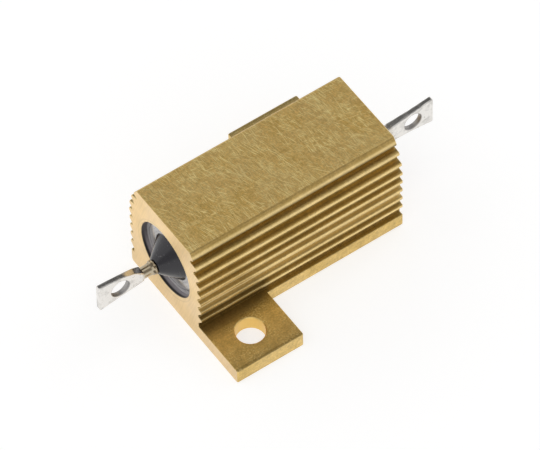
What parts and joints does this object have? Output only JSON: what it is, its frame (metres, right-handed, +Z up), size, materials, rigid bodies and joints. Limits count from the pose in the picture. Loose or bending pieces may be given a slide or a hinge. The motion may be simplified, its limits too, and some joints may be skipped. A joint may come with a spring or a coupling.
{
  "type": "aluminium housed power resistor",
  "caption": "Wire wound power resistor in a finned gold anodised aluminium housing that bolts down by diagonal lugs, with a flat pierced solder terminal at each end.",
  "frame": {"origin": "middle of the mounting face", "axes": "+X along the resistor from the left terminal to the right one, +Y across the lugs, +Z up out of the mounting face"},
  "size_m": [0.0446, 0.0274, 0.0144],
  "materials": {
    "gold_anodised_aluminium": "satin gold anodised, paler where it was cut",
    "black_moulding": "smooth black moulding compound",
    "white_ceramic": "matt fired ceramic",
    "resistance_wire": "drawn alloy wire",
    "cap_steel": "pressed steel",
    "tinned_metal": "bright tinned"
  },
  "bodies": {
    "root": {"housing": "gold_anodised_aluminium", "moulded_body": "black_moulding", "ceramic_core": "white_ceramic", "resistance_winding": "resistance_wire", "left_end_cap": "cap_steel", "right_end_cap": "cap_steel", "left_terminal": "tinned_metal", "right_terminal": "tinned_metal"}
  },
  "joints": []
}
